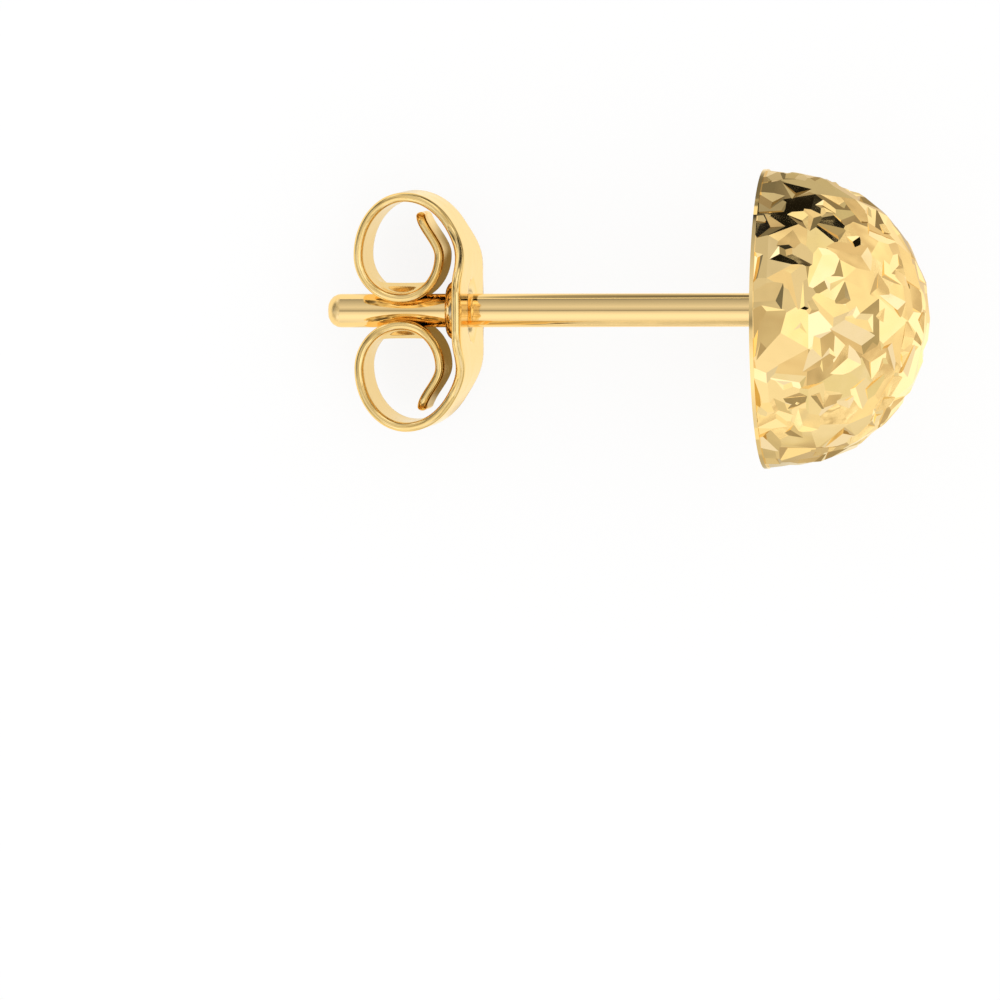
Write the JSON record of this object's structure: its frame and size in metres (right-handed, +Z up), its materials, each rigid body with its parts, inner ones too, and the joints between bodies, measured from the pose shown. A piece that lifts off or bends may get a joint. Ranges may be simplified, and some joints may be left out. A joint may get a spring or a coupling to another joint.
{
  "type": "diamond-cut half-ball stud earring",
  "caption": "Yellow gold stud earring: a hollow half ball cut all over with mirror facets, a straight post and a butterfly back that slides on it.",
  "frame": {"origin": "middle of the earring's box on the surface that it lies on, resting on the ball's rim and on the long edge of the butterfly's plate", "axes": "+X from the post's tip towards the ball's front, level with the surface, +Y from one scroll of the butterfly to the other, +Z up"},
  "size_m": [0.016, 0.008, 0.0079],
  "materials": {
    "diamond_cut_gold": "14 carat yellow gold, cut to mirror facets, polished post",
    "polished_gold": "14 carat yellow gold sheet, polished"
  },
  "bodies": {
    "stud": {"half_ball_and_post": "diamond_cut_gold"},
    "back": {"butterfly_back": "polished_gold"}
  },
  "joints": [
    {"name": "back_slide", "type": "slide", "parent": "stud", "child": "back", "axis": [-0.9834, 0, -0.1813], "range_m": [-0.0077, 0.005]}
  ]
}
